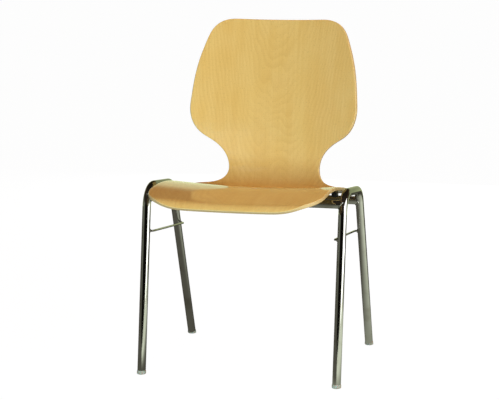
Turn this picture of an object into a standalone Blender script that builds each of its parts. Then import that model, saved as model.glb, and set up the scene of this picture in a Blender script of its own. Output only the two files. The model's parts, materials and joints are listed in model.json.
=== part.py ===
"""Stacking chair: a one-piece moulded plywood seat and back on a welded frame of bent steel tube.

Metres, +Z up. The chair stands on z = 0 and faces -Y, and the plane x = 0 is its plane of symmetry.
The origin is the bottom centre of its bounding box. "left" is the -X side.
"""

import math

import bmesh
import bpy
import numpy as np
from mathutils import Matrix, Vector

GAP = 0.0003  # between pieces that touch

# Side frames: each one tube, bent to a front leg, a short top run and a rear leg
TUBE_RADIUS = 0.010
TUBE_WALL = 0.0015
FRAME_X = 0.2353  # middle of the chair to the middle of a side frame
FRONT_FOOT_Y = -0.1655
REAR_FOOT_Y = 0.2441
FRONT_LEG_LEAN = 0.1305  # metres back for each metre up
REAR_LEG_LEAN = -0.387
TOP_RUN_Y = -0.0155  # a point on the top run's axis
TOP_RUN_Z = 0.4332
TOP_RUN_SLOPE = -0.10
BEND_RADIUS = 0.052
TUBE_SIDES = 20
BEND_STEPS = 8

# Crossbars, coped onto the legs just under the bends
CROSSBAR_HEIGHTS = {"front": 0.4160, "rear": 0.3950}
CROSSBAR_SIDES = 20

# Wire stays, one inside each side frame, from leg to leg
STAY_RADIUS = 0.0025
STAY_INSET = 0.0165  # from the side frame's middle plane to the stay's long run
STAY_FRONT_Z = 0.3368
STAY_REAR_Z = 0.3145
STAY_BEND_RADIUS = 0.005
STAY_SIDES = 10

# Foot glides, each a plug in the tube's end with a cap that stands flat on the floor
GLIDE_RADIUS = 0.0108
GLIDE_FLOOR_RADIUS = 0.0080
GLIDE_EDGE_HEIGHT = 0.0014
GLIDE_CAP_LENGTH = 0.0085  # along the leg, from the floor to the tube's end
GLIDE_PLUG_DEPTH = 0.020
GLIDE_PLUG_TAPER = 0.0015
GLIDE_SIDES = 24

# Shell: the curve of its middle line, seen from the side, from the front lip to the top of the back.
# A turn is where it begins, how long it takes and by how many degrees the line rises.
SHELL_THICKNESS = 0.009
PROFILE_START = (-0.2589, 0.4161)
PROFILE_HEADING = 46.0
PROFILE_LENGTH = 0.8575
LIP_TURN = (0.000, 0.035, -38.8)
FRONT_TURN = (0.063, 0.209, -16.5)
SEAT_TURN = (0.267, 0.150, -4.3)
BEND_TURN = (0.388, 0.105, 102.1)
LUMBAR_TURN = (0.560, 0.060, -11.4)

# Shell: half of the flat blank's outline, from the middle of the front edge to the middle of the top
OUTLINE_LENGTH = 1.2565
FRONT_CORNER_TURN = (0.0905, 0.1911, -89.9)
SHOULDER_TURN = (0.5271, 0.0760, -72.9)
WAIST_TURN = (0.5737, 0.2246, 131.95)
HIP_TURN = (0.7830, 0.1114, -64.25)
SIDE_TURN = (0.9058, 0.1580, -14.3)
TOP_CORNER_TURN = (1.0505, 0.1054, -70.35)

# Shell: how far the sides come up, as the rise divided by the square of the distance from the middle
SEAT_DISH = 0.18
BACK_DISH = 0.95
DISH_CHANGE = (0.386, 0.084)  # where it begins and how long it takes
SHELL_ROWS = 48
SHELL_COLUMNS = 14
NET_BOW = 2.5  # how the rows of the net curve towards its sides
NET_END_PART = 0.12  # the part of the net at each end that follows the outline's end

# Fixings: four screws go up through the crossbars and black spacers into nuts set in the shell
FIXING_X = {"front": 0.140, "rear": 0.175}
SPACER_WIDTH = 0.014
SPACER_LENGTH = 0.018
SPACER_SKIRT = 0.005  # how high above the crossbar's axis the spacer's lower edge is
SADDLE_SIDES = 40
SCREW_RADIUS = 0.0025
SCREW_HEAD_RADIUS = 0.0048
SCREW_HEAD_HEIGHT = 0.0032
SCREW_HEAD_FACE_RADIUS = 0.0034
SCREW_HEAD_EDGE_HEIGHT = 0.0018  # of the head's straight side, which a bevel joins to its face
SCREW_TIP_BEVEL = 0.0006
SCREW_HEAD_SEAT = 0.0108  # from the crossbar's axis, clear of the round bar although the screw leans
SCREW_SIDES = 16
HOLE_RADIUS = SCREW_RADIUS + GAP
NUT_RADIUS = 0.0040
NUT_LENGTH = 0.0062
NUT_POCKET_DEPTH = 0.0070
SCREW_REACH = 0.0060  # into the shell


# Curves


def eased(t):
    """0 before 0, 1 after 1, and a smooth rise between."""
    t = np.clip(t, 0.0, 1.0)
    return t * t * (3 - 2 * t)


def turning_curve(heading, length, turns, steps=1600):
    """A curve from (0, 0) that makes smooth turns: distances, two coordinates and headings in degrees."""
    along = np.linspace(0.0, length, steps + 1)
    headings = np.full(steps + 1, heading)
    for begins, takes, degrees in turns:
        headings += degrees * eased((along - begins) / takes)
    radians = np.radians(headings)
    step = length / steps

    def integral(slope):
        return np.concatenate([[0.0], np.cumsum((slope[1:] + slope[:-1]) / 2) * step])

    return along, integral(np.cos(radians)), integral(np.sin(radians)), headings


def filleted(points, radius, steps):
    """The polyline's points with each inner corner replaced by an arc."""
    path = [Vector(points[0])]
    for before, corner, after in zip(points, points[1:], points[2:]):
        corner = Vector(corner)
        towards_before = (Vector(before) - corner).normalized()
        towards_after = (Vector(after) - corner).normalized()
        half_angle = towards_before.angle(towards_after) / 2
        middle = (towards_before + towards_after).normalized()
        centre = corner + middle * (radius / math.sin(half_angle))
        start = corner + towards_before * (radius / math.tan(half_angle)) - centre
        turn = math.pi - 2 * half_angle
        axis = towards_after.cross(towards_before)
        for i in range(steps + 1):
            path.append(centre + Matrix.Rotation(turn * i / steps, 3, axis) @ start)
    path.append(Vector(points[-1]))
    return path


# Meshes and objects


def material(name, colour, roughness, metallic=0.0):
    made = bpy.data.materials.new(name)
    made.use_nodes = True
    shader = made.node_tree.nodes["Principled BSDF"]
    shader.inputs["Base Color"].default_value = (*colour, 1.0)
    shader.inputs["Roughness"].default_value = roughness
    shader.inputs["Metallic"].default_value = metallic
    return made


def add_object(name, bm, finish=None, smooth_below=40.0):
    """An object from the bmesh. Without a finish it is a cutter, which isn't part of the chair."""
    bmesh.ops.recalc_face_normals(bm, faces=bm.faces)
    mesh = bpy.data.meshes.new(name)
    bm.to_mesh(mesh)
    bm.free()
    mesh.shade_smooth()
    mesh.set_sharp_from_angle(angle=math.radians(smooth_below))
    made = bpy.data.objects.new(name, mesh)
    bpy.context.scene.collection.objects.link(made)
    if finish:
        mesh.materials.append(material(name, *finish))
        made.parent = CHAIR
    else:
        made.hide_render = True
        made.display_type = "WIRE"
    return made


def add_ring(bm, centre, across, up, radius, sides):
    """A ring of vertices round the centre, in the plane of the unit vectors across and up."""
    angles = [2 * math.pi * i / sides for i in range(sides)]
    return [bm.verts.new(centre + radius * (math.cos(a) * across + math.sin(a) * up)) for a in angles]


def join_rings(bm, first, second):
    for i in range(len(first)):
        j = (i + 1) % len(first)
        bm.faces.new((first[i], first[j], second[j], second[i]))


def add_tube(bm, path, radius, sides, across, bore_radius=None):
    """A tube swept along the path. across is square to the first stretch. With a bore, its ends are open."""
    directions = [(b - a).normalized() for a, b in zip(path, path[1:])]
    tangents = [directions[0]]
    tangents += [(a + b).normalized() for a, b in zip(directions, directions[1:])]
    tangents += [directions[-1]]
    outer = []
    bore = []
    for point, tangent in zip(path, tangents):
        across = (across - across.dot(tangent) * tangent).normalized()
        up = tangent.cross(across)
        outer.append(add_ring(bm, point, across, up, radius, sides))
        if bore_radius:
            bore.append(add_ring(bm, point, across, up, bore_radius, sides))
    for rings in (outer, bore):
        for first, second in zip(rings, rings[1:]):
            join_rings(bm, first, second)
    for end in (0, -1):
        if bore_radius:
            join_rings(bm, outer[end], bore[end])
        else:
            bm.faces.new(outer[end])


def turned(profile, sides):
    """A solid turned about Z from (radius, height) points. With no radius of 0 at its ends, it has a bore."""
    bm = bmesh.new()
    across, up = Vector((1, 0, 0)), Vector((0, 1, 0))
    rings = []
    for radius, height in profile:
        centre = Vector((0, 0, height))
        ring = add_ring(bm, centre, across, up, radius, sides) if radius else [bm.verts.new(centre)]
        rings.append(ring)
    closed = profile[0][0] and profile[-1][0]
    for first, second in zip(rings, rings[1:] + (rings[:1] if closed else [])):
        if len(first) > 1 and len(second) > 1:
            join_rings(bm, first, second)
        else:
            tip, ring = (first[0], second) if len(first) == 1 else (second[0], first)
            for i in range(sides):
                bm.faces.new((tip, ring[i], ring[(i + 1) % sides]))
    return bm


def cut(target, cutter):
    modifier = target.modifiers.new(cutter.name, "BOOLEAN")
    modifier.operation = "DIFFERENCE"
    modifier.solver = "EXACT"
    modifier.object = cutter


# Side frames


def leg_y(end, z):
    """Y of a leg's axis at height z."""
    return FRONT_FOOT_Y + FRONT_LEG_LEAN * z if end == "front" else REAR_FOOT_Y + REAR_LEG_LEAN * z


def leg_direction(end):
    """Unit vector up a leg."""
    lean = FRONT_LEG_LEAN if end == "front" else REAR_LEG_LEAN
    return Vector((0, lean, 1)).normalized()


def leg_meets_top_run(end):
    """Where a leg's axis and the top run's axis cross."""
    lean = FRONT_LEG_LEAN if end == "front" else REAR_LEG_LEAN
    level = TOP_RUN_Z + TOP_RUN_SLOPE * (leg_y(end, 0.0) - TOP_RUN_Y)
    z = level / (1 - TOP_RUN_SLOPE * lean)
    return Vector((0, leg_y(end, z), z))


def frame_path():
    """The axis of a side frame's tube, in its own plane."""
    front_end, rear_end = (
        Vector((0, leg_y(end, 0.0), 0)) + GLIDE_CAP_LENGTH * leg_direction(end) for end in ("front", "rear")
    )
    corners = [front_end, leg_meets_top_run("front"), leg_meets_top_run("rear"), rear_end]
    return filleted(corners, BEND_RADIUS, BEND_STEPS)


def side_frame(name, x):
    bm = bmesh.new()
    add_tube(bm, frame_path(), TUBE_RADIUS, TUBE_SIDES, Vector((1, 0, 0)), TUBE_RADIUS - TUBE_WALL)
    made = add_object(name, bm, finish=((0.62, 0.63, 0.62), 0.12, 1.0))
    made.location.x = x


def coping_cutter(name, x):
    """A solid a little fatter than a side frame, which shapes the ends of the crossbars."""
    bm = bmesh.new()
    add_tube(bm, frame_path(), TUBE_RADIUS + GAP, TUBE_SIDES, Vector((1, 0, 0)))
    made = add_object(name, bm)
    made.location.x = x
    return made


# Crossbars


def bar_centre(end):
    """The middle of a crossbar's axis, which meets the axes of the side frames' tubes."""
    height = CROSSBAR_HEIGHTS[end]
    path = frame_path() if end == "front" else frame_path()[::-1]
    above = next(i for i, point in enumerate(path) if point.z >= height)
    lower, upper = path[above - 1], path[above]
    return lower.lerp(upper, (height - lower.z) / (upper.z - lower.z))


def crossbar(end, copings):
    reach = Vector((FRAME_X, 0, 0))
    middle = bar_centre(end)
    bm = bmesh.new()
    path = [middle - reach, middle + reach]
    add_tube(bm, path, TUBE_RADIUS, CROSSBAR_SIDES, Vector((0, 1, 0)), TUBE_RADIUS - TUBE_WALL)
    made = add_object(f"{end}_crossbar", bm, finish=((0.60, 0.61, 0.60), 0.14, 1.0))
    for cutter in copings:
        cut(made, cutter)
    return made


# Wire stays


def wire_stay(name, side):
    """A round wire whose two ends turn out to meet the legs' inner sides."""
    run_x = side * (FRAME_X - STAY_INSET)
    end_x = side * (FRAME_X - TUBE_RADIUS - GAP)
    front = (leg_y("front", STAY_FRONT_Z), STAY_FRONT_Z)
    rear = (leg_y("rear", STAY_REAR_Z), STAY_REAR_Z)
    corners = [(end_x, *front), (run_x, *front), (run_x, *rear), (end_x, *rear)]
    bm = bmesh.new()
    path = filleted(corners, STAY_BEND_RADIUS, BEND_STEPS // 2)
    add_tube(bm, path, STAY_RADIUS, STAY_SIDES, Vector((0, 0, 1)))
    add_object(name, bm, finish=((0.58, 0.59, 0.58), 0.16, 1.0))


# Foot glides


def foot_glide(name, end, x):
    """A cap under the leg and a plug inside it, about the leg's axis, with a level face on the floor."""
    bm = bmesh.new()
    across, back, up = Vector((1, 0, 0)), Vector((0, 1, 0)), Vector((0, 0, 1))
    along = leg_direction(end)
    square = along.cross(across)

    def level_ring(radius, height):
        centre = Vector((0, leg_y(end, height) - leg_y(end, 0.0), height))
        return add_ring(bm, centre, across, back, radius, GLIDE_SIDES)

    def leg_ring(radius, distance):
        return add_ring(bm, distance * along, across, square, radius, GLIDE_SIDES)

    shoulder = GLIDE_CAP_LENGTH - GAP
    plug_radius = TUBE_RADIUS - TUBE_WALL - GAP
    plug_end = GLIDE_CAP_LENGTH + GLIDE_PLUG_DEPTH
    rings = [
        level_ring(GLIDE_FLOOR_RADIUS, 0.0),
        level_ring(GLIDE_RADIUS - GLIDE_EDGE_HEIGHT / 2, GLIDE_EDGE_HEIGHT),
        leg_ring(GLIDE_RADIUS, shoulder - GLIDE_EDGE_HEIGHT),
        leg_ring(GLIDE_RADIUS - GLIDE_EDGE_HEIGHT / 4, shoulder),
        leg_ring(plug_radius, shoulder),
        leg_ring(plug_radius, plug_end - GLIDE_PLUG_TAPER),
        leg_ring(plug_radius - GLIDE_PLUG_TAPER, plug_end),
    ]
    for first, second in zip(rings, rings[1:]):
        join_rings(bm, first, second)
    bm.faces.new(rings[0])
    bm.faces.new(rings[-1])
    made = add_object(name, bm, finish=((0.42, 0.43, 0.42), 0.45))
    made.location = (x, leg_y(end, 0.0), 0)


# Shell


PROFILE_TURNS = (LIP_TURN, FRONT_TURN, SEAT_TURN, BEND_TURN, LUMBAR_TURN)
PROFILE = turning_curve(PROFILE_HEADING, PROFILE_LENGTH, PROFILE_TURNS)
OUTLINE_TURNS = (FRONT_CORNER_TURN, SHOULDER_TURN, WAIST_TURN, HIP_TURN, SIDE_TURN, TOP_CORNER_TURN)


def shell_surface(along, offset):
    """Points on the side of the shell that is sat on, as an array of xyz."""
    distances, ys, zs, headings = PROFILE
    heading = np.radians(np.interp(along, distances, headings))
    dish_begins, dish_takes = DISH_CHANGE
    dish = SEAT_DISH + (BACK_DISH - SEAT_DISH) * eased((along - dish_begins) / dish_takes)
    rise = dish * offset**2
    y = PROFILE_START[0] + np.interp(along, distances, ys) - rise * np.sin(heading)
    z = PROFILE_START[1] + np.interp(along, distances, zs) + rise * np.cos(heading)
    return np.stack([offset + 0.0 * y, y, z], axis=-1)


def shell_slopes(along, offset, step=0.0005):
    """The two tangents of the surface, along the profile and across it."""
    lengthwise = shell_surface(along + step, offset) - shell_surface(along - step, offset)
    crosswise = shell_surface(along, offset + step) - shell_surface(along, offset - step)
    return lengthwise / (2 * step), crosswise / (2 * step)


def shell_normals(along, offset):
    lengthwise, crosswise = shell_slopes(along, offset)
    normal = np.cross(crosswise, lengthwise)
    return normal / np.linalg.norm(normal, axis=-1, keepdims=True)


def shell_net(rows, columns):
    """Where each point of a net over the blank lies: its distance along the profile and its offset."""
    _, s, w, heading = turning_curve(90.0, OUTLINE_LENGTH, OUTLINE_TURNS)
    first = int(np.argmax(heading < 45.0))
    last = len(heading) - 1 - int(np.argmax(heading[::-1] > -45.0))
    places = np.linspace(first, last, rows + 1)
    edge_s = np.interp(places, np.arange(len(s)), s)
    edge_w = np.interp(places, np.arange(len(w)), w)
    part = np.linspace(0.0, 1.0, rows + 1)
    even = (edge_s - edge_s[0]) / (edge_s[-1] - edge_s[0])
    middle_s = PROFILE_LENGTH * (part + even) / 2
    across = np.linspace(-1.0, 1.0, columns + 1)
    side = np.abs(across)
    bow = side**NET_BOW
    front_bow = np.interp(side * edge_w[0], w[: first + 1], s[: first + 1]) / edge_s[0]
    top_s = np.interp(-side * edge_w[-1], -w[last:], np.minimum(s[last:], PROFILE_LENGTH))
    top_bow = (PROFILE_LENGTH - top_s) / (PROFILE_LENGTH - edge_s[-1])
    near_front = 1 - eased(part / NET_END_PART)[:, None]
    near_top = 1 - eased((1 - part) / NET_END_PART)[:, None]
    bows = bow + near_front * (front_bow - bow) + near_top * (top_bow - bow)
    return middle_s[:, None] + (edge_s - middle_s)[:, None] * bows, edge_w[:, None] * across


def shell(pocket_cutters):
    along, offset = shell_net(SHELL_ROWS, SHELL_COLUMNS)
    face = shell_surface(along, offset)
    underside = face - SHELL_THICKNESS * shell_normals(along, offset)
    bm = bmesh.new()
    nets = [[[bm.verts.new(p) for p in row] for row in net] for net in (face, underside)]
    for net in nets:
        for row, following in zip(net, net[1:]):
            for j in range(SHELL_COLUMNS):
                bm.faces.new((row[j], row[j + 1], following[j + 1], following[j]))

    def rim(net):
        left = [row[0] for row in net]
        right = [row[-1] for row in net]
        return net[0] + right[1:-1] + net[-1][::-1] + left[-2:0:-1]

    join_rings(bm, rim(nets[0]), rim(nets[1]))
    made = add_object("seat_back_shell", bm, finish=((0.72, 0.50, 0.22), 0.30))
    for cutter in pocket_cutters:
        cut(made, cutter)


# Fixings


def nearest_on_shell(point):
    """The point of the upper surface that is nearest to a point under the seat, and the normal there."""
    along = point[1] - PROFILE_START[0]
    offset = point[0]
    for _ in range(30):
        miss = np.array(point) - shell_surface(along, offset)
        lengthwise, crosswise = shell_slopes(along, offset)
        along += miss @ lengthwise / (lengthwise @ lengthwise)
        offset += miss @ crosswise / (crosswise @ crosswise)
    return Vector(shell_surface(along, offset)), Vector(shell_normals(along, offset))


class Fixing:
    """One screwed joint. Its own Z runs from the crossbar's axis to the shell, square to the shell."""

    def __init__(self, end, side):
        middle = bar_centre(end)
        self.name = f"{end}_{'left' if side < 0 else 'right'}"
        self.origin = Vector((side * FIXING_X[end], middle.y, middle.z))
        surface, normal = nearest_on_shell(self.origin)
        self.rotation = Vector((0, 0, 1)).rotation_difference(normal)
        self.underside = (surface - self.origin).length - SHELL_THICKNESS

    def place(self, made):
        made.rotation_mode = "QUATERNION"
        made.location = self.origin
        made.rotation_quaternion = self.rotation
        return made

    def spacer(self):
        """A block whose underside is hollowed to sit on the crossbar, with a hole for the screw."""
        bottom, top = SPACER_SKIRT, self.underside - GAP
        bm = bmesh.new()
        bmesh.ops.create_cube(bm, size=1.0)
        bmesh.ops.scale(bm, vec=(SPACER_WIDTH, SPACER_LENGTH, top - bottom), verts=bm.verts)
        bmesh.ops.translate(bm, vec=(0, 0, (bottom + top) / 2), verts=bm.verts)
        made = self.place(add_object(f"spacer_{self.name}", bm, finish=((0.02, 0.02, 0.02), 0.55)))
        cut(made, self.hole_cutter())
        cut(made, self.saddle_cutter())

    def saddle_cutter(self):
        bm = bmesh.new()
        reach = Vector((SPACER_WIDTH * 2, 0, 0))
        path = [self.origin - reach, self.origin + reach]
        add_tube(bm, path, TUBE_RADIUS + GAP, SADDLE_SIDES, Vector((0, 1, 0)))
        return add_object(f"saddle_cutter_{self.name}", bm)

    def hole_cutter(self):
        below, above = -2 * TUBE_RADIUS, 4 * TUBE_RADIUS
        bm = turned([(0, below), (HOLE_RADIUS, below), (HOLE_RADIUS, above), (0, above)], SCREW_SIDES)
        return self.place(add_object(f"hole_cutter_{self.name}", bm))

    def screw(self):
        seat = -SCREW_HEAD_SEAT
        head = seat - SCREW_HEAD_HEIGHT
        tip = self.underside + SCREW_REACH
        profile = [
            (0, head),
            (SCREW_HEAD_FACE_RADIUS, head),
            (SCREW_HEAD_RADIUS, seat - SCREW_HEAD_EDGE_HEIGHT),
            (SCREW_HEAD_RADIUS, seat),
            (SCREW_RADIUS, seat),
            (SCREW_RADIUS, tip - SCREW_TIP_BEVEL),
            (SCREW_RADIUS - SCREW_TIP_BEVEL, tip),
            (0, tip),
        ]
        bm = turned(profile, SCREW_SIDES)
        self.place(add_object(f"screw_{self.name}", bm, finish=((0.55, 0.55, 0.53), 0.3, 1.0)))

    def insert_nut(self):
        bottom = self.underside + GAP
        top = bottom + NUT_LENGTH
        profile = [(NUT_RADIUS, bottom), (NUT_RADIUS, top), (HOLE_RADIUS, top), (HOLE_RADIUS, bottom)]
        bm = turned(profile, SCREW_SIDES)
        self.place(add_object(f"insert_nut_{self.name}", bm, finish=((0.62, 0.60, 0.54), 0.35, 1.0)))

    def pocket_cutter(self):
        radius = NUT_RADIUS + GAP
        bottom = self.underside - SHELL_THICKNESS
        top = self.underside + NUT_POCKET_DEPTH
        bm = turned([(0, bottom), (radius, bottom), (radius, top), (0, top)], SCREW_SIDES)
        return self.place(add_object(f"pocket_cutter_{self.name}", bm))


# The whole chair


for leftover in list(bpy.data.objects):
    bpy.data.objects.remove(leftover)

CHAIR = bpy.data.objects.new("chair", None)
bpy.context.scene.collection.objects.link(CHAIR)

SIDES = {"left": -1, "right": 1}
COPINGS = []
for side_name, sign in SIDES.items():
    side_frame(f"side_frame_{side_name}", sign * FRAME_X)
    COPINGS.append(coping_cutter(f"coping_cutter_{side_name}", sign * FRAME_X))
    wire_stay(f"wire_stay_{side_name}", sign)
    for end_name in CROSSBAR_HEIGHTS:
        foot_glide(f"foot_glide_{end_name}_{side_name}", end_name, sign * FRAME_X)

POCKETS = []
for end_name in CROSSBAR_HEIGHTS:
    bar = crossbar(end_name, COPINGS)
    for sign in SIDES.values():
        fixing = Fixing(end_name, sign)
        cut(bar, fixing.hole_cutter())
        fixing.spacer()
        fixing.screw()
        fixing.insert_nut()
        POCKETS.append(fixing.pocket_cutter())

shell(POCKETS)
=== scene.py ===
"""The looks of the stacking chair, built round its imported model.

Metres, +Z up. The chair faces -Y and stands on z = 0. "left" is the -X side.
"""

import json
import math

import bmesh
import bpy
import numpy as np
from mathutils import Matrix, Vector, kdtree


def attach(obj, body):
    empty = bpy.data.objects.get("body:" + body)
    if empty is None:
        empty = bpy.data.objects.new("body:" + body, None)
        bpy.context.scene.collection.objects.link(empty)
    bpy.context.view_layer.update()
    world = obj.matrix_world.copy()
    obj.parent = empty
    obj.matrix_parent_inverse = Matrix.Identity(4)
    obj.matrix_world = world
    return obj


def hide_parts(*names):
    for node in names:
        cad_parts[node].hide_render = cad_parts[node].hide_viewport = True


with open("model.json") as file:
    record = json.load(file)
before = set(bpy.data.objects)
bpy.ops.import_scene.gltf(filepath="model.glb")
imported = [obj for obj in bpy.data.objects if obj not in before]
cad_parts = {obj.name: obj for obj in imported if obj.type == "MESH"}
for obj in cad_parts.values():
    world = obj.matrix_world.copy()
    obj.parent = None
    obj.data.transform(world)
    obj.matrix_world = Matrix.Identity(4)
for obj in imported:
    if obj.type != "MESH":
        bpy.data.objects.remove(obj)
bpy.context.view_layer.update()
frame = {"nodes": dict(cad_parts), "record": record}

GAP = 0.0003  # between pieces that touch
SIDES = {"left": -1, "right": 1}
ENDS = ("front", "rear")

# Steel frame
TUBE_RADIUS = 0.010
TUBE_WALL = 0.0015
LEG_LEAN = {"front": 0.1305, "rear": -0.387}  # metres back for each metre up
TOP_RUN_Y = -0.0155  # a point on the top run's axis
TOP_RUN_Z = 0.4332
TOP_RUN_SLOPE = -0.10
BEND_RADIUS = 0.052
TUBE_SIDES = 48
BEND_STEPS = 32
CROSSBAR_HEIGHTS = {"front": 0.4160, "rear": 0.3950}
STAY_RADIUS = 0.0025
STAY_INSET = 0.0165
STAY_HEIGHTS = {"front": 0.3368, "rear": 0.3145}
STAY_BEND_RADIUS = 0.005
STAY_SIDES = 24
BEAD_RADIUS = 0.0015  # of the weld beads
BEAD_RIPPLE = 0.12  # as a part of the radius
BEAD_SIDES = 10

# Foot glides
GLIDE_RADIUS = 0.0108
GLIDE_FLOOR_RADIUS = 0.0080
GLIDE_EDGE_RADIUS = 0.0022
GLIDE_CAP_LENGTH = 0.0085
GLIDE_PLUG_DEPTH = 0.020
GLIDE_SIDES = 48
GLIDE_EDGE_STEPS = 6

# Shell: the curve of its middle line, seen from the side, and half of its flat blank's outline.
# A turn is where it begins, how long it takes and by how many degrees it turns.
SHELL_THICKNESS = 0.009
PROFILE_START = (-0.2589, 0.4161)
PROFILE_HEADING = 46.0
PROFILE_LENGTH = 0.8575
LIP_TURN = (0.000, 0.035, -38.8)
FRONT_TURN = (0.063, 0.209, -16.5)
SEAT_TURN = (0.267, 0.150, -4.3)
BEND_TURN = (0.388, 0.105, 102.1)
LUMBAR_TURN = (0.560, 0.060, -11.4)
OUTLINE_LENGTH = 1.2565
FRONT_CORNER_TURN = (0.0905, 0.1911, -89.9)
SHOULDER_TURN = (0.5271, 0.0760, -72.9)
WAIST_TURN = (0.5737, 0.2246, 131.95)
HIP_TURN = (0.7830, 0.1114, -64.25)
SIDE_TURN = (0.9058, 0.1580, -14.3)
TOP_CORNER_TURN = (1.0505, 0.1054, -70.35)
SEAT_DISH = 0.18
BACK_DISH = 0.95
DISH_CHANGE = (0.386, 0.084)
SHELL_ROWS = 220
SHELL_COLUMNS = 64
NET_BOW = 2.5
NET_END_PART = 0.12
EDGE_RADIUS = 0.0016  # of the shell's sanded edges
EDGE_STEPS = 4
PLY = 0.001

# Fixings
FIXING_X = {"front": 0.140, "rear": 0.175}
SPACER_WIDTH = 0.014
SPACER_LENGTH = 0.018
SPACER_SKIRT = 0.005
SPACER_BEVEL = 0.0012
SCREW_RADIUS = 0.0025
SCREW_HEAD_RADIUS = 0.0048
SCREW_HEAD_HEIGHT = 0.0032
SCREW_HEAD_SEAT = 0.0108
SCREW_HEAD_FLAT = 1.35  # its radius round the socket, as a part of the socket's
SCREW_DOME = 0.7  # as a part of the head's height
SCREW_DOME_STEPS = 8
SCREW_SOCKET_RADIUS = 0.0017
SCREW_SOCKET_DEPTH = 0.0016
SCREW_REACH = 0.0060
NUT_RADIUS = 0.0040
NUT_POCKET_DEPTH = 0.0070
ROUND_SIDES = 32


# Where the feet stand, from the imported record
FEET = {mount["name"]: Vector(mount["pos_m"]) for mount in frame["record"]["mounts"]}
FRAME_X = FEET["floor_front_right"].x
FOOT_Y = {end: FEET[f"floor_{end}_right"].y for end in ENDS}


# Curves


def eased(t):
    """0 before 0, 1 after 1, and a smooth rise between."""
    t = np.clip(t, 0.0, 1.0)
    return t * t * (3 - 2 * t)


def turning_curve(heading, length, turns, steps=1600):
    """A curve from (0, 0) that makes smooth turns.

    Gives distances along it, its two coordinates and its headings in degrees.
    """
    along = np.linspace(0.0, length, steps + 1)
    headings = np.full(steps + 1, heading)
    for begins, takes, degrees in turns:
        headings += degrees * eased((along - begins) / takes)
    radians = np.radians(headings)
    step = length / steps

    def integral(slope):
        return np.concatenate([[0.0], np.cumsum((slope[1:] + slope[:-1]) / 2) * step])

    return along, integral(np.cos(radians)), integral(np.sin(radians)), headings


def filleted(points, radius, steps):
    """The polyline's points with each inner corner replaced by an arc."""
    path = [Vector(points[0])]
    for before, corner, after in zip(points, points[1:], points[2:]):
        corner = Vector(corner)
        towards_before = (Vector(before) - corner).normalized()
        towards_after = (Vector(after) - corner).normalized()
        half_angle = towards_before.angle(towards_after) / 2
        middle = (towards_before + towards_after).normalized()
        centre = corner + middle * (radius / math.sin(half_angle))
        start = corner + towards_before * (radius / math.tan(half_angle)) - centre
        turn = math.pi - 2 * half_angle
        axis = towards_after.cross(towards_before)
        for i in range(steps + 1):
            path.append(centre + Matrix.Rotation(turn * i / steps, 3, axis) @ start)
    path.append(Vector(points[-1]))
    return path


# Meshes


def finish_mesh(name, bm, smooth_below=40.0):
    bmesh.ops.recalc_face_normals(bm, faces=bm.faces)
    mesh = bpy.data.meshes.new(name)
    bm.to_mesh(mesh)
    bm.free()
    mesh.shade_smooth()
    mesh.set_sharp_from_angle(angle=math.radians(smooth_below))
    made = bpy.data.objects.new(name, mesh)
    bpy.context.scene.collection.objects.link(made)
    return made


def add_ring(bm, centre, across, up, radius, sides):
    """A ring of vertices round the centre, in the plane of the unit vectors across and up."""
    angles = [2 * math.pi * i / sides for i in range(sides)]
    spokes = [math.cos(angle) * across + math.sin(angle) * up for angle in angles]
    return [bm.verts.new(centre + radius * spoke) for spoke in spokes]


def join_rings(bm, first, second):
    for i in range(len(first)):
        j = (i + 1) % len(first)
        bm.faces.new((first[i], first[j], second[j], second[i]))


def tube_rings(bm, path, radius, sides, across, closed=False):
    """Rings along the path. The radius is one number, or one for each point.

    across is the direction in which each ring starts.
    """
    path = [Vector(p) for p in path]
    count = len(path)
    radii = [radius] * count if isinstance(radius, float) else radius
    rings = []
    for i, point in enumerate(path):
        before = path[i - 1] if i or closed else point
        after = path[(i + 1) % count] if i + 1 < count or closed else point
        tangent = ((after - point).normalized() + (point - before).normalized()).normalized()
        across = (across - across.dot(tangent) * tangent).normalized()
        rings.append(add_ring(bm, point, across, tangent.cross(across), radii[i], sides))
    for first, second in zip(rings, rings[1:]):
        join_rings(bm, first, second)
    return rings


def lathe(bm, profile, sides, place=Matrix.Identity(4)):
    """Adds a solid turned about the Z axis of place from (radius, height) points."""
    across, up, along = (place.to_3x3() @ Vector(v) for v in ((1, 0, 0), (0, 1, 0), (0, 0, 1)))
    rings = []
    for radius, height in profile:
        centre = place.translation + height * along
        ring = add_ring(bm, centre, across, up, radius, sides) if radius else [bm.verts.new(centre)]
        rings.append(ring)
    for first, second in zip(rings, rings[1:]):
        if len(first) > 1 and len(second) > 1:
            join_rings(bm, first, second)
        elif len(first) > 1 or len(second) > 1:
            tip, ring = (first[0], second) if len(first) == 1 else (second[0], first)
            for i in range(sides):
                bm.faces.new((tip, ring[i], ring[(i + 1) % sides]))


def carve(made, *cutters):
    """Cuts the cutters from the mesh for good, and removes them."""
    for cutter in cutters:
        modifier = made.modifiers.new("cut", "BOOLEAN")
        modifier.object = cutter
    graph = bpy.context.evaluated_depsgraph_get()
    mesh = bpy.data.meshes.new_from_object(made.evaluated_get(graph))
    made.modifiers.clear()
    made.data = mesh
    for cutter in cutters:
        bpy.data.objects.remove(cutter)
    return made


# Steel frame


def leg_y(end, z):
    """Y of a leg's axis at height z."""
    return FOOT_Y[end] + LEG_LEAN[end] * z


def leg_direction(end):
    """Unit vector up a leg."""
    return Vector((0, LEG_LEAN[end], 1)).normalized()


def leg_point(end, x, z):
    return Vector((x, leg_y(end, z), z))


def leg_meets_top_run(end):
    """Where a leg's axis and the top run's axis cross."""
    level = TOP_RUN_Z + TOP_RUN_SLOPE * (leg_y(end, 0.0) - TOP_RUN_Y)
    return leg_point(end, 0.0, level / (1 - TOP_RUN_SLOPE * LEG_LEAN[end]))


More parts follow.
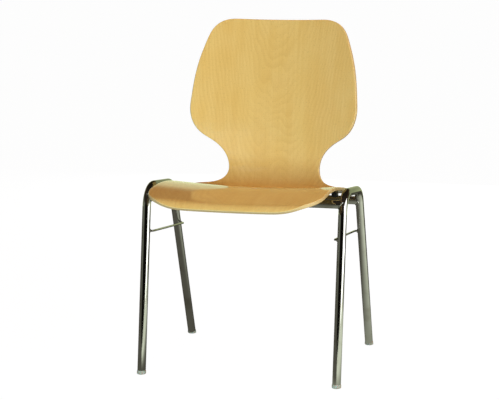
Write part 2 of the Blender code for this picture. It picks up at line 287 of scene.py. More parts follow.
def side_path():
    """The axis of a side tube, in its own plane, from its front foot to its rear foot."""
    feet = [leg_point(end, 0.0, 0.0) + GLIDE_CAP_LENGTH * leg_direction(end) for end in ENDS]
    corners = [feet[0], leg_meets_top_run("front"), leg_meets_top_run("rear"), feet[1]]
    return filleted(corners, BEND_RADIUS, BEND_STEPS)


SIDE_PATH = side_path()


def side_axis(end, x, height):
    """The point of a side tube's axis at a height, at its front or its rear."""
    path = SIDE_PATH if end == "front" else SIDE_PATH[::-1]
    above = next(i for i, point in enumerate(path) if point.z >= height)
    lower, upper = path[above - 1], path[above]
    return lower.lerp(upper, (height - lower.z) / (upper.z - lower.z)) + Vector((x, 0, 0))


def side_tube(name, x):
    """A bent tube with a bore, which is open at both ends."""
    path = [point + Vector((x, 0, 0)) for point in SIDE_PATH]
    bm = bmesh.new()
    across = Vector((1, 0, 0))
    outer = tube_rings(bm, path, TUBE_RADIUS, TUBE_SIDES, across)
    bore = tube_rings(bm, path, TUBE_RADIUS - TUBE_WALL, TUBE_SIDES, across)
    for end in (0, -1):
        join_rings(bm, outer[end], bore[end])
    return finish_mesh(name, bm)


def saddle(radius, end, side, height, reach=TUBE_RADIUS):
    """Where a round bar along X meets a side tube's inner side: points round the bar's axis."""
    centre = side_axis(end, side * FRAME_X, height)
    axis = np.array(SIDE_PATH)
    starts, runs = axis[:-1], np.diff(axis, axis=0)
    points = []
    for i in range(TUBE_SIDES):
        angle = 2 * math.pi * i / TUBE_SIDES
        point = centre + Vector((0, math.cos(angle), math.sin(angle))) * radius
        apart = np.array((0.0, point.y, point.z)) - starts
        part = np.clip((apart * runs).sum(axis=1) / (runs**2).sum(axis=1), 0.0, 1.0)
        miss = np.linalg.norm(apart - part[:, None] * runs, axis=1).min()
        inward = math.sqrt(max(reach**2 - miss**2, 0.0))
        points.append(point - Vector((side * inward, 0, 0)))
    return points


def crossbar(end):
    """A tube whose two ends are coped to the legs."""
    bm = bmesh.new()
    height = CROSSBAR_HEIGHTS[end]
    layers = []
    for radius in (TUBE_RADIUS, TUBE_RADIUS - TUBE_WALL):
        ends = [saddle(radius, end, side, height, TUBE_RADIUS + GAP) for side in (-1, 1)]
        layers.append([[bm.verts.new(p) for p in ring] for ring in ends])
    outer, bore = layers
    join_rings(bm, *outer)
    join_rings(bm, *bore)
    for i in range(2):
        join_rings(bm, outer[i], bore[i])
    return finish_mesh(f"{end}_cross_tube", bm)


def weld_bead(name, end, side, height, bar_radius):
    """A rippled bead of weld round the joint of a bar and a leg."""
    path = saddle(bar_radius + BEAD_RADIUS / 3, end, side, height, TUBE_RADIUS + BEAD_RADIUS / 3)
    count = len(path)
    ripples = round(2 * math.pi * bar_radius / (BEAD_RADIUS * 1.2))
    phases = [2 * math.pi * ripples * i / count for i in range(count)]
    radii = [BEAD_RADIUS * (1 + BEAD_RIPPLE * math.sin(phase)) for phase in phases]
    bm = bmesh.new()
    rings = tube_rings(bm, path, radii, BEAD_SIDES, Vector((side, 0, 0)), closed=True)
    join_rings(bm, rings[-1], rings[0])
    return finish_mesh(name, bm, smooth_below=80.0)


def wire_stay(name, side):
    """A round wire whose two ends turn out to meet the legs' inner sides."""
    run_x = side * (FRAME_X - STAY_INSET)
    end_x = side * (FRAME_X - TUBE_RADIUS - GAP)
    front, rear = (leg_point(end, run_x, STAY_HEIGHTS[end]) for end in ENDS)
    corners = [(end_x, front.y, front.z), front, rear, (end_x, rear.y, rear.z)]
    bm = bmesh.new()
    path = filleted(corners, STAY_BEND_RADIUS, BEND_STEPS // 2)
    rings = tube_rings(bm, path, STAY_RADIUS, STAY_SIDES, Vector((0, 0, 1)))
    bm.faces.new(rings[0])
    bm.faces.new(rings[-1])
    return finish_mesh(name, bm)


# Foot glides


def foot_glide(name, end, x):
    """A rounded cap under the leg and a plug inside it.

    Its rings turn from level, on the floor, to square to the leg.
    """
    along = leg_direction(end)
    shoulder = GLIDE_CAP_LENGTH - GAP
    plug_radius = TUBE_RADIUS - TUBE_WALL - GAP
    plug_end = GLIDE_CAP_LENGTH + GLIDE_PLUG_DEPTH
    profile = [(GLIDE_FLOOR_RADIUS, 0.0)]
    for i in range(1, GLIDE_EDGE_STEPS + 1):
        angle = math.pi / 2 * i / GLIDE_EDGE_STEPS
        out = GLIDE_FLOOR_RADIUS + (GLIDE_RADIUS - GLIDE_FLOOR_RADIUS) * math.sin(angle)
        profile.append((out, GLIDE_EDGE_RADIUS * (1 - math.cos(angle))))
    profile += [
        (GLIDE_RADIUS, shoulder - GLIDE_EDGE_RADIUS / 3),
        (GLIDE_RADIUS - GLIDE_EDGE_RADIUS / 10, shoulder - GLIDE_EDGE_RADIUS / 10),
        (GLIDE_RADIUS - GLIDE_EDGE_RADIUS / 3, shoulder),
        (plug_radius, shoulder),
        (plug_radius, plug_end - GLIDE_EDGE_RADIUS),
        (plug_radius - GLIDE_EDGE_RADIUS / 2, plug_end),
    ]
    bm = bmesh.new()
    rings = []
    for radius, height in profile:
        part = float(eased(height / shoulder))
        up = Vector((0, 0, 1)).lerp(along, part).normalized()
        rise = Vector((0, along.y / along.z, 1)).lerp(along, part)
        centre = leg_point(end, x, 0.0) + height * rise
        across = Vector((1, 0, 0))
        rings.append(add_ring(bm, centre, across, up.cross(across), radius, GLIDE_SIDES))
    for first, second in zip(rings, rings[1:]):
        join_rings(bm, first, second)
    bm.faces.new(rings[0])
    bm.faces.new(rings[-1])
    return finish_mesh(name, bm, smooth_below=30.0)


# Shell

PROFILE_TURNS = (LIP_TURN, FRONT_TURN, SEAT_TURN, BEND_TURN, LUMBAR_TURN)
PROFILE = turning_curve(PROFILE_HEADING, PROFILE_LENGTH, PROFILE_TURNS)
OUTLINE_TURNS = (FRONT_CORNER_TURN, SHOULDER_TURN, WAIST_TURN, HIP_TURN, SIDE_TURN, TOP_CORNER_TURN)


def shell_surface(along, offset):
    """Points on the side of the shell that is sat on, as an array of xyz."""
    distances, ys, zs, headings = PROFILE
    heading = np.radians(np.interp(along, distances, headings))
    dish_begins, dish_takes = DISH_CHANGE
    dish = SEAT_DISH + (BACK_DISH - SEAT_DISH) * eased((along - dish_begins) / dish_takes)
    rise = dish * offset**2
    y = PROFILE_START[0] + np.interp(along, distances, ys) - rise * np.sin(heading)
    z = PROFILE_START[1] + np.interp(along, distances, zs) + rise * np.cos(heading)
    return np.stack([offset + 0.0 * y, y, z], axis=-1)


def shell_slopes(along, offset, step=0.0005):
    """The two tangents of the surface, along the profile and across it."""
    lengthwise = shell_surface(along + step, offset) - shell_surface(along - step, offset)
    crosswise = shell_surface(along, offset + step) - shell_surface(along, offset - step)
    return lengthwise / (2 * step), crosswise / (2 * step)


def shell_normals(along, offset):
    lengthwise, crosswise = shell_slopes(along, offset)
    normal = np.cross(crosswise, lengthwise)
    return normal / np.linalg.norm(normal, axis=-1, keepdims=True)


def blank_outline(inset):
    """Half of the blank's outline, drawn in by the inset: distances along, offsets and headings."""
    _, s, w, heading = turning_curve(90.0, OUTLINE_LENGTH, OUTLINE_TURNS)
    radians = np.radians(heading)
    return s + inset * np.sin(radians), w - inset * np.cos(radians), heading


def shell_net(inset):
    """A net over the blank drawn in by the inset.

    Gives each point's distance along the profile and its offset from the middle.
    """
    s, w, heading = blank_outline(inset)
    front, top = s[0], s[-1]
    first = int(np.argmax(heading < 45.0))
    last = len(heading) - 1 - int(np.argmax(heading[::-1] > -45.0))
    places = np.linspace(first, last, SHELL_ROWS + 1)
    edge_s = np.interp(places, np.arange(len(s)), s)
    edge_w = np.interp(places, np.arange(len(w)), w)
    part = np.linspace(0.0, 1.0, SHELL_ROWS + 1)
    even = (edge_s - edge_s[0]) / (edge_s[-1] - edge_s[0])
    middle_s = front + (top - front) * (part + even) / 2
    across = np.linspace(-1.0, 1.0, SHELL_COLUMNS + 1)
    side = np.abs(across)
    bow = side**NET_BOW
    front_s = np.interp(side * edge_w[0], w[: first + 1], s[: first + 1])
    front_bow = (front_s - front) / (edge_s[0] - front)
    top_s = np.interp(-side * edge_w[-1], -w[last:], s[last:])
    top_bow = (top - top_s) / (top - edge_s[-1])
    near_front = 1 - eased(part / NET_END_PART)[:, None]
    near_top = 1 - eased((1 - part) / NET_END_PART)[:, None]
    bows = bow + near_front * (front_bow - bow) + near_top * (top_bow - bow)
    return middle_s[:, None] + (edge_s - middle_s)[:, None] * bows, edge_w[:, None] * across


def rim_of(net):
    """The points round a net, once."""
    return np.concatenate([net[0], net[1:-1, -1], net[-1, ::-1], net[-2:0:-1, 0]])


def edge_steps():
    """The section of the sanded edge, from face to underside.

    Gives how far in from the outline and how deep each step lies.
    """
    angles = np.linspace(0, math.pi / 2, EDGE_STEPS + 1)
    arc = [(EDGE_RADIUS * (1 - math.sin(a)), EDGE_RADIUS * (1 - math.cos(a))) for a in angles]
    return arc + [(inset, SHELL_THICKNESS - depth) for inset, depth in reversed(arc)]


def plywood_shell(name, pockets):
    """The moulded shell. Its attribute blank says where each point lay in the flat blank."""
    places = []  # offset, distance along the profile, depth
    steps = edge_steps()
    nets = {}
    bm = bmesh.new()

    def add_points(along, offset, depth):
        points = shell_surface(along, offset) - depth * shell_normals(along, offset)
        places.extend(np.stack([offset, along, 0.0 * along + depth], axis=-1).reshape(-1, 3))
        flat = points.reshape(-1, 3)
        made = np.array([bm.verts.new(p) for p in flat], dtype=object)
        return made.reshape(points.shape[:-1])

    rings = []
    for inset, depth in steps:
        along, offset = shell_net(inset)
        if depth in (0.0, SHELL_THICKNESS):
            net = add_points(along, offset, depth)
            nets[depth] = net
            rings.append(rim_of(net))
        else:
            rings.append(add_points(rim_of(along), rim_of(offset), depth))
    for net in nets.values():
        for row, following in zip(net, net[1:]):
            for j in range(SHELL_COLUMNS):
                bm.faces.new((row[j], row[j + 1], following[j + 1], following[j]))
    for first, second in zip(rings, rings[1:]):
        join_rings(bm, first, second)
    made = finish_mesh(name, bm, smooth_below=60.0)
    # The cuts lose an attribute's values, so each point of the cut mesh takes its nearest point's
    uncut = kdtree.KDTree(len(places))
    for index, vertex in enumerate(made.data.vertices):
        uncut.insert(vertex.co, index)
    uncut.balance()
    carve(made, *pockets)
    kept = [places[uncut.find(vertex.co)[1]] for vertex in made.data.vertices]
    blank = made.data.attributes.new("blank", "FLOAT_VECTOR", "POINT")
    blank.data.foreach_set("vector", np.array(kept, np.float32).ravel())
    return made


# Fixings


def nearest_on_shell(point):
    """The upper surface's point nearest to a point under the seat, and the normal there."""
    along = point[1] - PROFILE_START[0]
    offset = point[0]
    for _ in range(30):
        miss = np.array(point) - shell_surface(along, offset)
        lengthwise, crosswise = shell_slopes(along, offset)
        along += miss @ lengthwise / (lengthwise @ lengthwise)
        offset += miss @ crosswise / (crosswise @ crosswise)
    return Vector(shell_surface(along, offset)), Vector(shell_normals(along, offset))


def rod(radius, bottom, top):
    """The (radius, height) points of a plain round rod."""
    return [(0, bottom), (radius, bottom), (radius, top), (0, top)]


class Fixing:
    """One screwed joint.

    Its own Z runs from the crossbar's axis to the shell, square to the shell.
    """

    def __init__(self, end, side_name):
        self.name = f"{end}_{side_name}"
        origin = side_axis(end, SIDES[side_name] * FIXING_X[end], CROSSBAR_HEIGHTS[end])
        surface, normal = nearest_on_shell(origin)
        turn = Vector((0, 0, 1)).rotation_difference(normal)
        self.origin = origin
        self.place = Matrix.Translation(origin) @ turn.to_matrix().to_4x4()
        self.underside = (surface - origin).length - SHELL_THICKNESS

    def turned(self, name, profile, sides=ROUND_SIDES):
        bm = bmesh.new()
        lathe(bm, profile, sides, self.place)
        return finish_mesh(name, bm, smooth_below=30.0)

    def spacer(self):
        """A rounded block, hollowed to sit on the crossbar, with a hole for the screw."""
        bottom, top = SPACER_SKIRT, self.underside - GAP
        bm = bmesh.new()
        bmesh.ops.create_cube(bm, size=1.0)
        bmesh.ops.scale(bm, vec=(SPACER_WIDTH, SPACER_LENGTH, top - bottom), verts=bm.verts)
        bmesh.ops.translate(bm, vec=(0, 0, (bottom + top) / 2), verts=bm.verts)
        bmesh.ops.bevel(
            bm, geom=bm.edges[:], offset=SPACER_BEVEL, segments=4, profile=0.5, affect="EDGES"
        )
        bm.transform(self.place)
        block = finish_mesh(f"black_spacer_{self.name}", bm)
        bm = bmesh.new()
        reach = Vector((SPACER_WIDTH * 2, 0, 0))
        path = [self.origin - reach, self.origin + reach]
        for ring in tube_rings(bm, path, TUBE_RADIUS + GAP, TUBE_SIDES, Vector((0, 1, 0))):
            bm.faces.new(ring)
        saddle_cutter = finish_mesh("saddle_cutter", bm)
        hole = rod(SCREW_RADIUS + GAP, -2 * TUBE_RADIUS, 4 * TUBE_RADIUS)
        return carve(block, saddle_cutter, self.turned("hole_cutter", hole))

    def screw(self):
        """A domed head with a hexagonal socket, and a plain shank."""
        seat = -SCREW_HEAD_SEAT
        head = seat - SCREW_HEAD_HEIGHT
        tip = self.underside + SCREW_REACH
        flat = SCREW_SOCKET_RADIUS * SCREW_HEAD_FLAT
        profile = [(0, head), (flat, head)]
        for i in range(1, SCREW_DOME_STEPS + 1):
            angle = math.pi / 2 * i / SCREW_DOME_STEPS
            out = flat + (SCREW_HEAD_RADIUS - flat) * math.sin(angle)
            profile.append((out, head + SCREW_HEAD_HEIGHT * SCREW_DOME * (1 - math.cos(angle))))
        profile += [
            (SCREW_HEAD_RADIUS, seat - GAP),
            (SCREW_HEAD_RADIUS - GAP, seat),
            (SCREW_RADIUS, seat),
            (SCREW_RADIUS, tip - SCREW_RADIUS / 4),
            (SCREW_RADIUS * 3 / 4, tip),
            (0, tip),
        ]
        made = self.turned(f"cap_screw_{self.name}", profile)
        below, bottom = head - SCREW_HEAD_HEIGHT, head + SCREW_SOCKET_DEPTH
        radius = SCREW_SOCKET_RADIUS
        socket = [(0, below), (radius, below), (radius, bottom), (0, bottom + radius / 3)]
        return carve(made, self.turned("socket_cutter", socket, sides=6))

    def pocket(self):
        """What the insert nut's pocket takes out of the shell."""
        bottom, top = self.underside - SHELL_THICKNESS / 2, self.underside + NUT_POCKET_DEPTH
        return self.turned("pocket_cutter", rod(NUT_RADIUS + GAP, bottom, top))


# Materials

# Beech: growth rings about a pith under the face, in metres
RING_WIDTH = 0.0062
PITH_DEPTH = 0.245  # at the shell's front edge
PITH_RISE = -0.22  # for each metre along the blank
PITH_WANDER = 0.060
RING_WAVER = 0.006
# How much each shows in the face's colour
LATE_WOOD = 0.25
STREAKS = 0.34
CLOUDS = 0.45
FLECKS = 0.45
SEAMS = 0.5  # in the edge's
EDGE_LACQUER_LOSS = -0.85  # the sanded edge soaks up most of the lacquer
PORE_DEPTH = 0.00004

# Stretches of the noises over the flat blank: across it, along it and through it, for each metre
WANDER_STRETCH = (9.0, 3.2, 0.0)
WAVER_STRETCH = (30.0, 13.0, 0.0)
RING_FADE_STRETCH = (11.0, 5.0, 0.0)
STREAK_STRETCH = (170.0, 4.0, 0.0)
BAND_STRETCH = (34.0, 1.3, 0.0)
CLOUD_STRETCH = (16.0, 11.0, 0.0)
FLECK_STRETCH = (1500.0, 190.0, 0.0)
FIBRE_STRETCH = (420.0, 420.0, 2500.0)

# Chrome, plastic and zinc
CHROME_EDGE = (0.55, 0.55, 0.52, 1.0)
TOP_RUN_BEGINS = 0.426  # height from which painted shade darkens the top runs
# height at which the painted shade on the top runs is full
TOP_RUN_FULL_SHADE = 0.440
CHROME_ROUGHNESS = 0.03
CHROME_FILM = 0.04
CHROME_SCRATCHES = 0.03
CHROME_SCRATCH_DEPTH = 0.00002
ZINC_MOTTLE_DEPTH = 0.00003
PLASTIC_ROUGHNESS_RANGE = 0.08


class Nodes:
    """A node tree, with a short call for each kind of node that is used here."""

    def __init__(self, tree):
        self.tree = tree

    def put(self, socket, value):
        """Links a node's output to a socket, or sets the socket."""
        if isinstance(value, bpy.types.NodeSocket):
            self.tree.links.new(value, socket)
        else:
            socket.default_value = value

    def node(self, kind, values=(), **properties):
        made = self.tree.nodes.new(f"ShaderNode{kind}")
        for key, value in properties.items():
            setattr(made, key, value)
        for key, value in dict(values).items():
            self.put(made.inputs[key], value)
        return made

    def blank(self):
        """Where a point of the shell lay in the flat blank: offset, distance along, depth."""
        return self.node("Attribute", attribute_name="blank").outputs["Vector"]

    def object_place(self):
        return self.node("TexCoord").outputs["Object"]

    def parts(self, vector):
        """The X, Y and Z of a vector."""
        return self.node("SeparateXYZ", {0: vector}).outputs

    def stretched(self, vector, scale):
        return self.node("VectorMath", {0: vector, 1: scale}, operation="MULTIPLY").outputs[0]

    def noise(self, vector, scale=1.0, detail=2.0, roughness=0.5):
        values = {"Vector": vector, "Scale": scale, "Detail": detail, "Roughness": roughness}
        return self.node("TexNoise", values).outputs["Fac"]

    def maths(self, operation, first, second=0.0, third=0.0):
        return self.node("Math", {0: first, 1: second, 2: third}, operation=operation).outputs[0]

    def between(self, value, low, high, out_low=0.0, out_high=1.0):
        """A smooth rise of the value from out_low to out_high."""
        values = {
            "Value": value,
            "From Min": low,
            "From Max": high,
            "To Min": out_low,
            "To Max": out_high,
        }
        return self.node("MapRange", values, interpolation_type="SMOOTHSTEP").outputs["Result"]

    def mixed(self, part, first, second):
        """A colour between the two. A Mix node's colour sockets are its inputs 6 and 7."""
        return self.node("Mix", {0: part, 6: first, 7: second}, data_type="RGBA").outputs[2]


class Shader(Nodes):
    """A material's nodes round its principled shader. The settings are that shader's own values."""

    def __init__(self, name, **settings):
        self.material = bpy.data.materials.new(name)
        self.material.use_nodes = True
        super().__init__(self.material.node_tree)
        self.surface = self.tree.nodes["Principled BSDF"]
        for socket, value in settings.items():
            self.surface.inputs[socket.replace("_", " ")].default_value = value

    def base_color(self, value):
        self.put(self.surface.inputs["Base Color"], value)

    def roughness(self, value):
        self.put(self.surface.inputs["Roughness"], value)

    def bump(self, height, distance, strength):
        values = {"Height": height, "Distance": distance, "Strength": strength}
        self.put(self.surface.inputs["Normal"], self.node("Bump", values).outputs["Normal"])


def linear(level):
    """Linear light from an sRGB level of 0 to 255."""
    part = level / 255
    return part / 12.92 if part <= 0.04045 else ((part + 0.055) / 1.055) ** 2.4


def colour(red, green, blue):
    return (linear(red), linear(green), linear(blue), 1.0)


WOOD_LIGHT = colour(227, 186, 100)
WOOD_PALE = colour(230, 192, 109)
WOOD_WARM = colour(223, 179, 92)
WOOD_DARK = colour(215, 166, 81)
WOOD_LATE = colour(204, 151, 71)
WOOD_FLECK = colour(164, 112, 56)
LONG_PLY_LIGHT = colour(242, 210, 142)
LONG_PLY_DARK = colour(231, 194, 122)
END_PLY_LIGHT = colour(213, 169, 100)
END_PLY_DARK = colour(191, 142, 78)
GLUE = colour(150, 104, 54)
CHROME_WORN = colour(176, 174, 166)
# Painted shade that the chrome's top runs darken towards
CHROME_PAINTED_SHADE = colour(118, 120, 112)
ZINC_DARK = colour(150, 146, 132)


def beech_plywood():
    """Sliced beech veneer under a satin lacquer, with the plies showing at the edges."""
    shader = Shader(
        "beech_plywood",
        Roughness=0.45,
        Specular_IOR_Level=0.25,
        Coat_Roughness=0.08,
        Coat_IOR=1.5,
    )
    blank = shader.blank()
    axes = shader.parts(blank)
    offset, along, depth = axes["X"], axes["Y"], axes["Z"]
    # Growth rings: cones about a pith under the veneer's middle that gets nearer towards the top,
    # so that they show as straight lines at the sides and as arches between them
    wander = shader.noise(shader.stretched(blank, WANDER_STRETCH), detail=2.0)
    waver = shader.noise(shader.stretched(blank, WAVER_STRETCH), detail=1.0)
    pith = shader.maths("MULTIPLY_ADD", along, PITH_RISE, PITH_DEPTH)
    pith = shader.maths("MULTIPLY_ADD", wander, PITH_WANDER, pith)
    squares = shader.maths("MULTIPLY_ADD", offset, offset, shader.maths("MULTIPLY", pith, pith))
    ring = shader.maths("MULTIPLY_ADD", waver, RING_WAVER, shader.maths("SQRT", squares))
    line = shader.maths("FRACT", shader.maths("DIVIDE", ring, RING_WIDTH))
    rise, fall = shader.between(line, 0.15, 0.85), shader.between(line, 1.0, 0.88)
    late = shader.maths("MULTIPLY", rise, fall)
    strength = shader.noise(shader.stretched(blank, RING_FADE_STRETCH), detail=1.0)
    late = shader.maths("MULTIPLY", late, shader.between(strength, 0.30, 0.70, 0.25, 1.0))
    # Soft streaks along the grain, and clouds
    streaks = shader.noise(shader.stretched(blank, STREAK_STRETCH), detail=3.0, roughness=0.6)
    bands = shader.noise(shader.stretched(blank, BAND_STRETCH), detail=1.0)
    clouds = shader.noise(shader.stretched(blank, CLOUD_STRETCH), detail=2.0)
    tone = shader.mixed(shader.between(bands, 0.32, 0.68), WOOD_LIGHT, WOOD_WARM)
    tone = shader.mixed(shader.between(clouds, 0.35, 0.70, 0.0, CLOUDS), tone, WOOD_PALE)
    tone = shader.mixed(shader.between(streaks, 0.35, 0.72, 0.0, STREAKS), tone, WOOD_DARK)
    tone = shader.mixed(shader.maths("MULTIPLY", late, LATE_WOOD), tone, WOOD_LATE)
    # The flecks: short dark rays along the grain
    flecks = shader.noise(shader.stretched(blank, FLECK_STRETCH), detail=1.0)
    fleck = shader.between(flecks, 0.60, 0.72)
    face = shader.mixed(shader.maths("MULTIPLY", fleck, FLECKS), tone, WOOD_FLECK)
    # The edge: plies in turn along and across the grain, and glue lines between them
    ply = shader.maths("DIVIDE", depth, PLY)
    crossed = shader.maths("FLOORED_MODULO", shader.maths("FLOOR", ply), 2.0)
    fibres = shader.noise(shader.stretched(blank, FIBRE_STRETCH), detail=2.0)
    long_ply = shader.mixed(fibres, LONG_PLY_LIGHT, LONG_PLY_DARK)
    end_ply = shader.mixed(fibres, END_PLY_LIGHT, END_PLY_DARK)
    edge = shader.mixed(crossed, long_ply, end_ply)
    seam = shader.maths("ABSOLUTE", shader.maths("SUBTRACT", shader.maths("FRACT", ply), 0.5))
    edge = shader.mixed(shader.between(seam, 0.42, 0.5, 0.0, SEAMS), edge, GLUE)
    from_face = shader.maths("MINIMUM", depth, shader.maths("SUBTRACT", SHELL_THICKNESS, depth))
    at_edge = shader.between(from_face, PLY * 0.25, PLY * 0.6)
    shader.base_color(shader.mixed(at_edge, face, edge))
    lacquer = shader.maths("MULTIPLY_ADD", at_edge, EDGE_LACQUER_LOSS, 1.0)
    shader.put(shader.surface.inputs["Coat Weight"], lacquer)
    # Pores sink a little under the lacquer
    pores = shader.maths("MULTIPLY", fleck, -0.6)
    grain = shader.maths("MULTIPLY_ADD", streaks, 0.25, pores)
    shader.bump(grain, PORE_DEPTH, 0.6)
    return shader.material


def chrome(name, tint, scratch_scale):
    """Polished chrome plate with faint wear, and painted shade on the top runs."""
    shader = Shader(name, Metallic=1.0, Specular_Tint=CHROME_EDGE)
    place = shader.object_place()
    dull = shader.noise(place, scale=26.0, detail=3.0)
    fine = shader.noise(shader.stretched(place, scratch_scale), detail=4.0, roughness=0.65)
    film = shader.between(dull, 0.45, 0.75)
    plate = shader.mixed(film, tint, CHROME_WORN)
    # Painted shade: the top runs get darker with height, patchy with the scratch noise
    on_top_run = shader.between(shader.parts(place)["Z"], TOP_RUN_BEGINS, TOP_RUN_FULL_SHADE)
    painted_shade = shader.maths("MULTIPLY", shader.between(fine, 0.25, 0.75, 0.55, 0.95), on_top_run)
    shader.base_color(shader.mixed(painted_shade, plate, CHROME_PAINTED_SHADE))
    wear = shader.maths("MULTIPLY_ADD", film, CHROME_FILM, CHROME_ROUGHNESS)
    shader.roughness(shader.maths("MULTIPLY_ADD", fine, CHROME_SCRATCHES, wear))
    shader.bump(fine, CHROME_SCRATCH_DEPTH, 0.3)
    return shader.material


def moulded_plastic(name, light, dark, roughness, grain, translucency=0.0):
    """Moulded plastic with a fine grained skin."""
    shader = Shader(name, Subsurface_Weight=translucency, Subsurface_Scale=0.003)
    place = shader.object_place()
    clouds = shader.noise(place, scale=180.0, detail=2.0)
    skin = shader.noise(place, scale=2600.0, detail=1.0)
    shader.base_color(shader.mixed(clouds, light, dark))
    low, high = roughness - PLASTIC_ROUGHNESS_RANGE, roughness + PLASTIC_ROUGHNESS_RANGE
    shader.roughness(shader.between(skin, 0.3, 0.7, low, high))
    shader.bump(skin, grain, 0.5)
    return shader.material


def zinc(name, tint):
    """Zinc plate: pale, slightly mottled, with a dull sheen."""
    shader = Shader(name, Metallic=1.0)
    place = shader.object_place()
    mottle = shader.noise(place, scale=700.0, detail=3.0)
    shader.base_color(shader.mixed(mottle, tint, ZINC_DARK))
    shader.roughness(shader.between(mottle, 0.2, 0.8, 0.28, 0.46))
    shader.bump(mottle, ZINC_MOTTLE_DEPTH, 0.4)
    return shader.material


# Studio

WHITE = (1.0, 1.0, 1.0, 1.0)
FLOOR_GLOW = 0.98
FLOOR_PALE = (0.05, 0.05, 0.05, 1.0)
FLOOR_GREY = (0.125, 0.12, 0.095)
FLOOR_DARK = (0.05, 0.047, 0.038)
LIT_FLOOR = (0.95, 1.0, 0.80)
ROOM = (0.20, 0.21, 0.165)
CEILING = (0.035, 0.026, 0.018)
REAR_CEILING = (0.13, 0.07, 0.03)
BEHIND_CAMERA = (0.006, 0.005, 0.004)
RIGHT_CORNER = (0.09, 0.08, 0.065)
BACKDROP = (0.82, 0.90, 0.52)


def studio_floor():
    """White to the camera, with soft shadows.

    To the chair it is grey, but lit on the right and pale behind.
    """
    bm = bmesh.new()
    bmesh.ops.create_circle(bm, cap_ends=True, radius=60.0, segments=64)
    floor = finish_mesh("studio_floor", bm)
    shader = Shader("studio_floor")
    shader.tree.nodes.remove(shader.surface)
    place = shader.parts(shader.object_place())
    rightward = shader.between(place["X"], -0.15, 0.9)
    forward = shader.between(place["Y"], 0.7, 0.2)
    lit = shader.maths("MULTIPLY", rightward, forward)
    behind = shader.between(place["Y"], 1.6, 2.6)
    look = shader.mixed(lit, (*FLOOR_GREY, 1.0), (*LIT_FLOOR, 1.0))
    look = shader.mixed(behind, look, (*BACKDROP, 1.0))
    mirrored = shader.node("LightPath").outputs["Is Glossy Ray"]
    look = shader.mixed(mirrored, (*FLOOR_DARK, 1.0), look)
    reflected = shader.node("Emission", {"Color": look}).outputs[0]
    pale = shader.node("BsdfDiffuse", {"Color": FLOOR_PALE}).outputs[0]
    glow = shader.node("Emission", {"Color": WHITE, "Strength": FLOOR_GLOW}).outputs[0]
    seen = shader.node("AddShader", {0: pale, 1: glow}).outputs[0]
    direct = shader.node("LightPath").outputs["Is Camera Ray"]
    both = shader.node("MixShader", {0: direct, 1: reflected, 2: seen}).outputs[0]
    shader.put(shader.tree.nodes["Material Output"].inputs["Surface"], both)
    floor.data.materials.append(shader.material)


def direction(azimuth, elevation):
    """Azimuth 0 is in front of the chair and 90 on its +X side."""
    a, e = math.radians(azimuth), math.radians(elevation)
    return Vector((math.sin(a) * math.cos(e), -math.cos(a) * math.cos(e), math.sin(e)))


def studio_world():
    """White to the camera.

    To the chair it is a dim room: black behind the camera, pale behind the chair.
    """
    world = bpy.data.worlds.new("studio")
    bpy.context.scene.world = world
    world.use_nodes = True
    shader = Nodes(world.node_tree)
    place = shader.node("TexCoord").outputs["Generated"]
    height = shader.parts(place)["Z"]
    room = (*ROOM, 1.0)
    for look, azimuth, elevation, half_angle, soft in (
        (BACKDROP, 180, 8, 42, 18),
        (RIGHT_CORNER, 128, 5, 24, 10),
        (BEHIND_CAMERA, 8, 2, 43, 14),
    ):
        towards = direction(azimuth, elevation)
        product = shader.node("VectorMath", {0: place, 1: towards}, operation="DOT_PRODUCT")
        facing = product.outputs["Value"]
        outer, inner = (math.cos(math.radians(half_angle + part)) for part in (soft / 2, -soft / 2))
        room = shader.mixed(shader.between(facing, outer, inner), room, (*look, 1.0))
    rearward = shader.between(shader.parts(place)["Y"], 0.0, 0.5)
    warm = shader.maths("MULTIPLY", rearward, shader.between(height, 0.62, 0.50))
    ceiling = shader.mixed(warm, (*CEILING, 1.0), (*REAR_CEILING, 1.0))
    room = shader.mixed(shader.between(height, 0.25, 0.40), room, ceiling)
    nodes = shader.tree.nodes
    shader.put(nodes["Background"].inputs["Color"], room)
    reflected = nodes["Background"].outputs[0]
    seen = shader.node("Background", {"Color": WHITE}).outputs[0]
    direct = shader.node("LightPath").outputs["Is Camera Ray"]
    both = shader.node("MixShader", {0: direct, 1: reflected, 2: seen}).outputs[0]
    shader.put(nodes["World Output"].inputs["Surface"], both)


def softbox(name, azimuth, elevation, distance, size, radiance, tint, reflected):
    """An area light that looks at the seat."""
    towards = direction(azimuth, elevation)
    data = bpy.data.lights.new(name, "AREA")
    data.shape = "RECTANGLE"
    data.size, data.size_y = size
    data.energy = radiance * math.pi * size[0] * size[1]
    data.color = tint
    made = bpy.data.objects.new(name, data)
    bpy.context.scene.collection.objects.link(made)
    made.location = SEAT_MIDDLE + distance * towards
    made.rotation_mode = "QUATERNION"
    made.rotation_quaternion = towards.to_track_quat("Z", "Y")
    made.visible_camera = False
    made.visible_glossy = reflected


SEAT_MIDDLE = Vector((0, 0, 0.45))
CAMERA_PLACE = (0.9170, -3.4991, 0.9865)
CAMERA_DOWN = 9.20  # degrees
CAMERA_LEFT = 14.91
CAMERA_LENS = 110.6


def camera():
    data = bpy.data.cameras.new("camera")
    data.sensor_width = 36.0
    data.lens = CAMERA_LENS
    made = bpy.data.objects.new("camera", data)
    bpy.context.scene.collection.objects.link(made)
    made.location = CAMERA_PLACE
    made.rotation_euler = (math.radians(90 - CAMERA_DOWN), 0, math.radians(CAMERA_LEFT))
    bpy.context.scene.camera = made


# The whole chair


def dress(piece, finish, slot, *nodes):
    """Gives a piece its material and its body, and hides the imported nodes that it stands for."""
    piece.data.materials.clear()
    piece.data.materials.append(finish)
    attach(piece, "root")
    if nodes:
        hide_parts(*nodes)


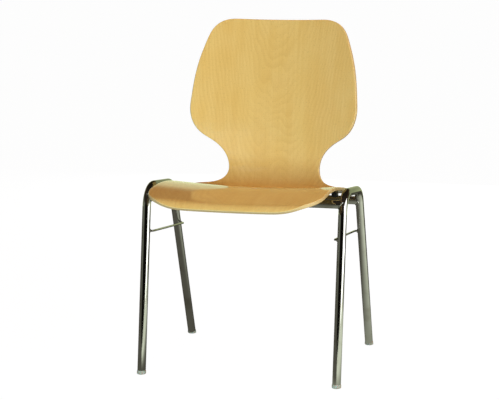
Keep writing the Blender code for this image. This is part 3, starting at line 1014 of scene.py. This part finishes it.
WOOD = beech_plywood()
TUBE_CHROME = chrome("tube_chrome", colour(199, 200, 196), (900.0, 900.0, 60.0))
WIRE_CHROME = chrome("drawn_wire_chrome", colour(190, 191, 187), (900.0, 200.0, 900.0))
GREYS = colour(178, 174, 142), colour(158, 154, 124)
BLACKS = colour(30, 29, 28), colour(20, 20, 20)
GLIDE_PLASTIC = moulded_plastic(
    "grey_plastic", *GREYS, roughness=0.36, grain=0.00004, translucency=0.3
)
BLACK_PLASTIC = moulded_plastic("black_plastic", *BLACKS, roughness=0.42, grain=0.00006)
SCREW_ZINC = zinc("screw_zinc", colour(196, 194, 188))
NUT_ZINC = zinc("nut_zinc", colour(204, 196, 160))

fixings = [Fixing(end, side_name) for end in ENDS for side_name in SIDES]
for fixing in fixings:
    dress(fixing.spacer(), BLACK_PLASTIC, "spacer_plastic", f"spacer_{fixing.name}")
    dress(fixing.screw(), SCREW_ZINC, "screw_steel", f"screw_{fixing.name}")
    nut = frame["nodes"][f"insert_nut_{fixing.name}"]
    nut.data.materials.clear()
    nut.data.materials.append(NUT_ZINC)

shell = plywood_shell("plywood_shell", [fixing.pocket() for fixing in fixings])
dress(shell, WOOD, "shell_wood", "seat_back_shell")

for side_name, side in SIDES.items():
    x = side * FRAME_X
    tube = side_tube(f"bent_tube_{side_name}", x)
    dress(tube, TUBE_CHROME, "frame_chrome", f"side_frame_{side_name}")
    wire = wire_stay(f"bent_wire_{side_name}", side)
    dress(wire, WIRE_CHROME, "wire_chrome", f"wire_stay_{side_name}")
    for end in ENDS:
        corner = f"{end}_{side_name}"
        glide = foot_glide(f"foot_cap_{corner}", end, x)
        dress(glide, GLIDE_PLASTIC, "glide_plastic", f"foot_glide_{corner}")
        bead = weld_bead(f"bar_weld_{corner}", end, side, CROSSBAR_HEIGHTS[end], TUBE_RADIUS)
        dress(bead, TUBE_CHROME, "frame_chrome")
        bead = weld_bead(f"wire_weld_{corner}", end, side, STAY_HEIGHTS[end], STAY_RADIUS)
        dress(bead, WIRE_CHROME, "wire_chrome")
for end in ENDS:
    dress(crossbar(end), TUBE_CHROME, "frame_chrome", f"{end}_crossbar")

studio_floor()
studio_world()
softbox(
    "key",
    azimuth=6,
    elevation=3,
    distance=3.0,
    size=(2.0, 1.1),
    radiance=11.9,
    tint=(0.87, 1.19, 1.70),
    reflected=False,
)
softbox(
    "side",
    azimuth=80,
    elevation=14,
    distance=2.2,
    size=(2.2, 1.9),
    radiance=2.4,
    tint=(1.0, 1.0, 1.0),
    reflected=True,
)
softbox(
    "top",
    azimuth=0,
    elevation=84,
    distance=2.4,
    size=(1.6, 1.6),
    radiance=2.5,
    tint=(1.0, 0.40, 0.08),
    reflected=False,
)
softbox(
    "rear",
    azimuth=180,
    elevation=3,
    distance=3.0,
    size=(2.2, 1.1),
    radiance=5.5,
    tint=(1.0, 0.98, 1.05),
    reflected=False,
)
camera()
bpy.context.scene.view_settings.view_transform = "Standard"
